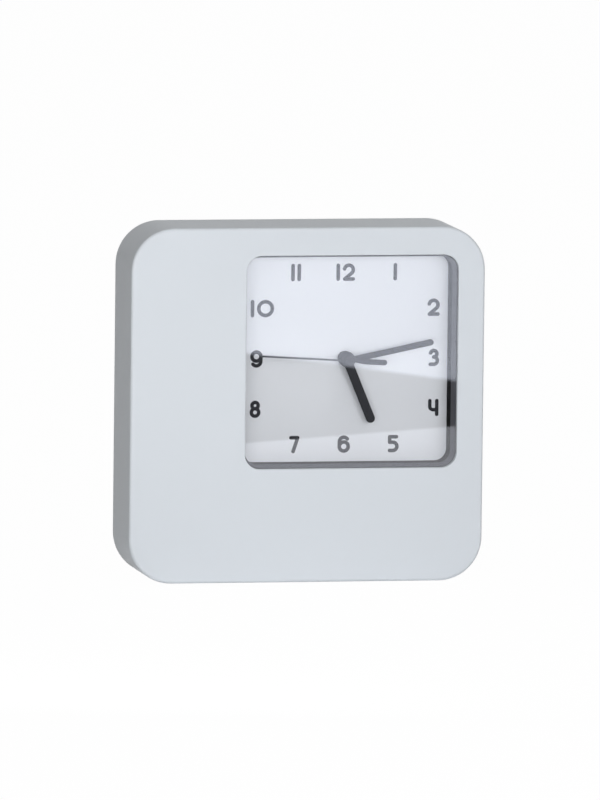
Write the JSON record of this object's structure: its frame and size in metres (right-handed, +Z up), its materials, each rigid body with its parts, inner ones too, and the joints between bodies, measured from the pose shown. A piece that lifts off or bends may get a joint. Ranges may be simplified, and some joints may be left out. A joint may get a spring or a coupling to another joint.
{
  "type": "pendulette clock",
  "caption": "Square silver desk clock with a recessed white dial at the upper right, black rounded numerals and a quartz movement.",
  "frame": {"origin": "middle of the clock's footprint, on the surface that it stands on", "axes": "+X to the right seen from the front, +Y from the front to the back, +Z up"},
  "size_m": [0.16, 0.04, 0.1585],
  "materials": {
    "silver_paint": "satin silver paint on a moulded shell",
    "clear_lens": "clear, polished",
    "grey_frame_plastic": "smooth matte",
    "dial_white": "matte white coat",
    "black_print": "silk-screen print",
    "carrier_plastic": "moulded",
    "screw_steel": "zinc plated",
    "cover_plastic": "fine moulded grain",
    "hand_black": "thin sheet with satin black lacquer",
    "movement_black": "fine moulded grain",
    "gear_natural": "natural acetal",
    "arbor_steel": "polished",
    "magnet_grey": "sintered magnet",
    "stator_steel": "stamped sheet",
    "copper_wire": "enamelled copper wire",
    "board_green": "solder mask",
    "chip_black": "epoxy drop",
    "crystal_can": "drawn can",
    "contact_nickel": "nickel plated strip",
    "battery_steel": "plated can",
    "battery_print": "printed film",
    "knob_black": "moulded"
  },
  "bodies": {
    "clock_body": {"front_case": "silver_paint", "lens": "clear_lens", "dial_frame": "grey_frame_plastic", "dial": "dial_white", "dial_numerals": "black_print", "dial_carrier": "carrier_plastic", "carrier_screws": "screw_steel", "rear_cover": "cover_plastic", "rear_cover_screws": "screw_steel", "movement_case_front": "movement_black", "movement_case_rear": "movement_black", "movement_plate": "gear_natural", "stator": "stator_steel", "coil_core": "stator_steel", "coil_bobbin": "gear_natural", "coil_winding": "copper_wire", "circuit_board": "board_green", "circuit_chip": "chip_black", "quartz_crystal": "crystal_can", "battery_contact_plus": "contact_nickel", "battery_contact_minus": "contact_nickel"},
    "second_group": {"second_hand": "hand_black", "second_arbor": "arbor_steel", "second_wheel": "gear_natural"},
    "minute_group": {"minute_hand": "hand_black", "minute_wheel": "gear_natural"},
    "hour_group": {"hour_hand": "hand_black", "hour_wheel": "gear_natural"},
    "third_group": {"third_wheel": "gear_natural", "third_arbor": "arbor_steel"},
    "step_group": {"step_wheel": "gear_natural", "step_arbor": "arbor_steel"},
    "rotor_group": {"rotor_pinion": "gear_natural", "rotor_magnet": "magnet_grey", "rotor_arbor": "arbor_steel"},
    "motion_group": {"motion_wheel": "gear_natural"},
    "setting_group": {"setting_shaft": "gear_natural", "setting_knob": "knob_black"},
    "battery": {"battery_can": "battery_steel", "battery_sleeve": "battery_print"}
  },
  "joints": [
    {"name": "second_hand_spin", "type": "hinge", "parent": "clock_body", "child": "second_group", "pos_m": [0.02, 0, 0.0983], "axis": [0, 1, 0], "continuous": true},
    {"name": "minute_hand_spin", "type": "hinge", "parent": "clock_body", "child": "minute_group", "pos_m": [0.02, 0, 0.0983], "axis": [0, 1, 0], "continuous": true},
    {"name": "hour_hand_spin", "type": "hinge", "parent": "clock_body", "child": "hour_group", "pos_m": [0.02, 0, 0.0983], "axis": [0, 1, 0], "continuous": true},
    {"name": "third_wheel_spin", "type": "hinge", "parent": "clock_body", "child": "third_group", "pos_m": [0.03015, 0, 0.10199], "axis": [0, 1, 0], "continuous": true},
    {"name": "step_wheel_spin", "type": "hinge", "parent": "clock_body", "child": "step_group", "pos_m": [0.01713, 0, 0.10619], "axis": [0, 1, 0], "continuous": true},
    {"name": "rotor_spin", "type": "hinge", "parent": "clock_body", "child": "rotor_group", "pos_m": [0.02063, 0, 0.11226], "axis": [0, 1, 0], "continuous": true},
    {"name": "motion_wheel_spin", "type": "hinge", "parent": "clock_body", "child": "motion_group", "pos_m": [0.0116, 0, 0.0983], "axis": [0, 1, 0], "continuous": true},
    {"name": "setting_knob_spin", "type": "hinge", "parent": "clock_body", "child": "setting_group", "pos_m": [0.00433, 0, 0.1025], "axis": [0, 1, 0], "continuous": true},
    {"name": "battery_slide", "type": "slide", "parent": "clock_body", "child": "battery", "axis": [0, 1, 0], "range_m": [0, 0.03]}
  ],
  "couplings": [
    {"joint": "minute_hand_spin", "follows": "second_hand_spin", "ratio": 0.016667},
    {"joint": "hour_hand_spin", "follows": "second_hand_spin", "ratio": 0.0013889},
    {"joint": "third_wheel_spin", "follows": "second_hand_spin", "ratio": -0.13333},
    {"joint": "step_wheel_spin", "follows": "second_hand_spin", "ratio": -5},
    {"joint": "rotor_spin", "follows": "second_hand_spin", "ratio": 30},
    {"joint": "motion_wheel_spin", "follows": "second_hand_spin", "ratio": -0.0055556},
    {"joint": "setting_knob_spin", "follows": "second_hand_spin", "ratio": 0.016667}
  ]
}
